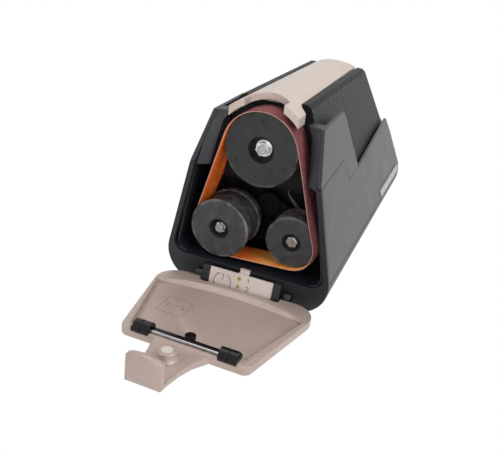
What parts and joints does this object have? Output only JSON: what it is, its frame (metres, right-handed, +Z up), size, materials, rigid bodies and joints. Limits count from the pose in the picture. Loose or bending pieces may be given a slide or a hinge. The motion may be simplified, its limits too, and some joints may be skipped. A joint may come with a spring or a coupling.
{
  "type": "electric knife sharpener",
  "caption": "Belt-driven electric knife sharpener: trapezoid body with slanted blade guides, three pulleys and a sprung arm behind a fold-down front cover, power button below.",
  "frame": {"origin": "on the table, under the middle of the whole outline with the front cover hanging open", "axes": "+Z up, -Y towards the user and the front cover, +X to the right of a user facing the front"},
  "size_m": [0.1147, 0.3778, 0.1362],
  "materials": {
    "shell_black": "fine moulded texture, satin",
    "side_black": "smooth satin moulded plastic",
    "casing_dotted": "fine dotted relief, matt",
    "champagne": "satin metallic champagne plastic",
    "cover_champagne": "satin metallic champagne plastic",
    "pulley_black": "matt glass-filled plastic",
    "grit_belt": "abrasive grit outside, orange cloth backing inside",
    "zinc_steel": "bright zinc plated",
    "shaft_steel": "ground steel",
    "gloss_black": "polished",
    "magnet_silver": "dull nickel",
    "plate_silver": "satin",
    "foot_rubber": "matt",
    "lamp_olive": "clear tinted, unlit",
    "board_green": "solder-masked board",
    "motor_steel": "plated can",
    "fan_white": "plain",
    "belt_rubber": "matt",
    "bearing_steel": "ground"
  },
  "bodies": {
    "housing": {"front_frame": "shell_black", "base_tub": "shell_black", "base_screws": "zinc_steel", "foot_front_left": "foot_rubber", "foot_front_right": "foot_rubber", "foot_rear_left": "foot_rubber", "foot_rear_right": "foot_rubber", "cord_gland": "foot_rubber", "side_panel_right": "side_black", "side_panel_left": "side_black", "guide_right": "shell_black", "guide_left": "shell_black", "upper_casing": "casing_dotted", "top_spine": "champagne", "rear_cover": "side_black", "bulkhead": "shell_black", "drive_bearing": "bearing_steel", "motor_mount": "motor_steel", "motor_body": "motor_steel", "transmission_belt": "belt_rubber", "control_board": "board_green", "top_axle": "shaft_steel", "top_nut": "zinc_steel", "top_washer": "zinc_steel", "tension_pivot": "shaft_steel", "tension_spring": "shaft_steel", "abrasive_belt": "grit_belt", "button_console": "shell_black", "button_panel": "champagne", "light_guide": "lamp_olive", "switch_board": "board_green", "hinge_pin_left": "shaft_steel", "hinge_pin_right": "shaft_steel", "name_plate": "plate_silver"},
    "cover": {"front_cover": "cover_champagne", "cover_magnet": "magnet_silver", "edge_rod": "shaft_steel", "guide_bar": "gloss_black", "edge_guide_right": "gloss_black", "edge_guide_left": "gloss_black", "centre_knob": "gloss_black"},
    "button": {"power_button": "champagne"},
    "upper_wheel": {"top_pulley": "pulley_black"},
    "drive_wheel": {"drive_pulley": "pulley_black", "drive_shaft": "shaft_steel", "drive_nut": "zinc_steel", "driven_wheel": "pulley_black"},
    "swing_arm": {"tension_arm": "pulley_black", "idler_axle": "shaft_steel", "idler_nut": "zinc_steel"},
    "idler_wheel": {"idler_pulley": "pulley_black"},
    "rotor": {"motor_shaft": "shaft_steel", "motor_pulley": "pulley_black", "cooling_fan": "fan_white"}
  },
  "joints": [
    {"name": "cover_hinge", "type": "hinge", "parent": "housing", "child": "cover", "pos_m": [0, -0.0617, 0.0121], "axis": [-1, 0, 0], "range_deg": [0, 85]},
    {"name": "power_press", "type": "slide", "parent": "housing", "child": "button", "axis": [0, 0.9548, -0.2974], "range_m": [0, 0.0008], "stiffness_N_per_m": 500, "springref_m": -0.0006},
    {"name": "upper_wheel_spin", "type": "hinge", "parent": "housing", "child": "upper_wheel", "pos_m": [0, -0.0451, 0.103], "axis": [0, 1, 0], "continuous": true},
    {"name": "drive_wheel_spin", "type": "hinge", "parent": "housing", "child": "drive_wheel", "pos_m": [-0.0224, -0.0451, 0.0452], "axis": [0, 1, 0], "continuous": true},
    {"name": "arm_swing", "type": "hinge", "parent": "housing", "child": "swing_arm", "pos_m": [-0.0005, -0.0221, 0.0564], "axis": [0, -1, 0], "range_deg": [0, 7], "stiffness_Nm_per_rad": 1, "springref_deg": -17.19, "deforming": ["abrasive_belt", "tension_spring"]},
    {"name": "idler_spin", "type": "hinge", "parent": "swing_arm", "child": "idler_wheel", "pos_m": [0.0265, -0.0451, 0.0462], "axis": [0, 1, 0], "continuous": true},
    {"name": "rotor_spin", "type": "hinge", "parent": "housing", "child": "rotor", "pos_m": [0.006, 0.0179, 0.073], "axis": [0, 1, 0], "continuous": true}
  ],
  "couplings": [
    {"joint": "upper_wheel_spin", "follows": "drive_wheel_spin", "ratio": 0.78367},
    {"joint": "idler_spin", "follows": "drive_wheel_spin", "ratio": 1.0848},
    {"joint": "rotor_spin", "follows": "drive_wheel_spin", "ratio": 3.2951}
  ]
}
